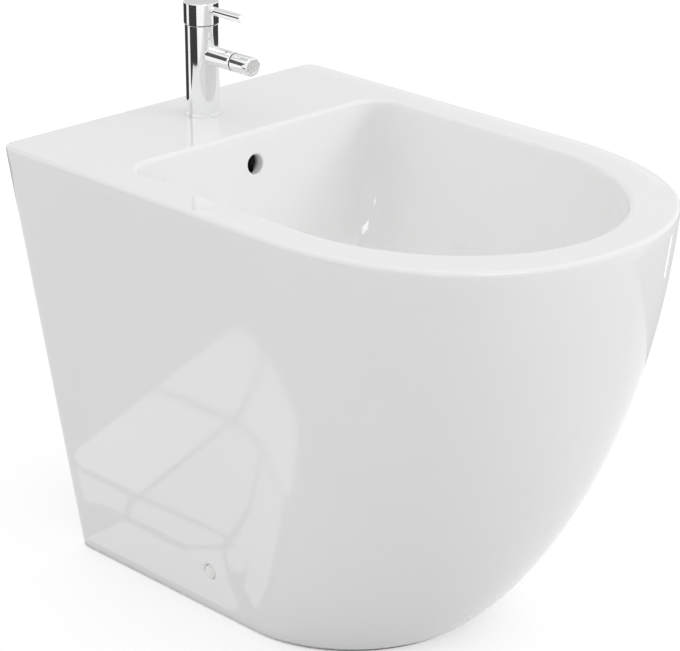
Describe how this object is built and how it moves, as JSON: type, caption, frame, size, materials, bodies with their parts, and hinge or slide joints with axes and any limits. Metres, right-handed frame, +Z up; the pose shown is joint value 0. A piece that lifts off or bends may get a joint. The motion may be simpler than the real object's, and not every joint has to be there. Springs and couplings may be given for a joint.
{
  "type": "floor standing bidet",
  "caption": "Floor standing back to wall bidet: a hollow china body with a deck mounted lever mixer tap, click waste, overflow and bottle trap.",
  "frame": {"origin": "on the floor, at the middle of the bounding box's bottom face", "axes": "+Z up, +Y towards the wall that the back stands against, the bowl's rounded front at -Y, +X across"},
  "size_m": [0.363, 0.541, 0.5025],
  "materials": {
    "china": "gloss",
    "chrome": "polished",
    "brass": "satin",
    "steel": "satin",
    "rubber": "matte",
    "alumina": "polished",
    "white_plastic": "satin",
    "grey_plastic": "satin"
  },
  "bodies": {
    "china": {"ceramic_pedestal": "china", "ceramic_bowl": "china", "ceramic_duct": "china", "ceramic_deck": "china", "tap_body": "chrome", "tap_base_ring": "chrome", "tap_base_seal": "rubber", "fixing_stud": "steel", "horseshoe_gasket": "rubber", "horseshoe_plate": "steel", "stud_nut": "brass", "cartridge_housing": "grey_plastic", "cartridge_seals": "rubber", "fixed_disc": "alumina", "cartridge_nut": "brass", "nozzle_collar": "brass", "waste_body": "chrome", "flange_gasket": "rubber", "lower_gasket": "rubber", "waste_washer": "white_plastic", "waste_backnut": "brass", "click_housing": "brass", "click_spring": "steel", "trap_union_nut": "white_plastic", "trap_inlet_washer": "rubber", "trap_body": "white_plastic", "trap_cup_seal": "rubber", "trap_cup": "white_plastic", "outlet_seal": "rubber", "outlet_nut": "white_plastic", "waste_pipe": "white_plastic", "floor_brackets": "steel", "bracket_nuts": "steel", "side_sleeves": "white_plastic", "side_screws": "steel", "side_caps": "white_plastic"},
    "rotor": {"cartridge_rotor": "white_plastic", "pivot_pin": "steel"},
    "handle": {"spindle": "brass", "handle_cap": "chrome", "handle_lever": "chrome", "handle_screw": "steel", "index_plug": "grey_plastic"},
    "disc": {"moving_disc": "alumina", "disc_carrier": "white_plastic"},
    "nozzle_ring": {"nozzle_seal": "rubber"},
    "nozzle": {"nozzle_ball": "brass", "nozzle_housing": "chrome", "aerator_seal": "rubber", "aerator_insert": "white_plastic"},
    "plug": {"plug_cover": "chrome", "plug_seal": "rubber"}
  },
  "joints": [
    {"name": "handle_swivel", "type": "hinge", "parent": "china", "child": "rotor", "pos_m": [0, 0.2145, 0.4748], "axis": [0, 0, 1], "range_deg": [-50, 50]},
    {"name": "handle_tilt", "type": "hinge", "parent": "rotor", "child": "handle", "pos_m": [0, 0.2145, 0.4748], "axis": [-1, 0, 0], "range_deg": [0, 16]},
    {"name": "disc_slide", "type": "slide", "parent": "rotor", "child": "disc", "axis": [0, -1, 0], "range_m": [0, 0.0017]},
    {"name": "nozzle_yaw", "type": "hinge", "parent": "china", "child": "nozzle_ring", "pos_m": [0, 0.1785, 0.456], "axis": [0, 0, 1], "range_deg": [-8, 8]},
    {"name": "nozzle_pitch", "type": "hinge", "parent": "nozzle_ring", "child": "nozzle", "pos_m": [0, 0.1785, 0.456], "axis": [1, 0, 0], "range_deg": [-8, 8]},
    {"name": "plug_slide", "type": "slide", "parent": "china", "child": "plug", "axis": [0, 0, 1], "range_m": [0, 0.008], "deforming": ["click_spring"]}
  ],
  "couplings": [
    {"joint": "disc_slide", "follows": "handle_tilt", "m_per_rad": 0.006}
  ]
}
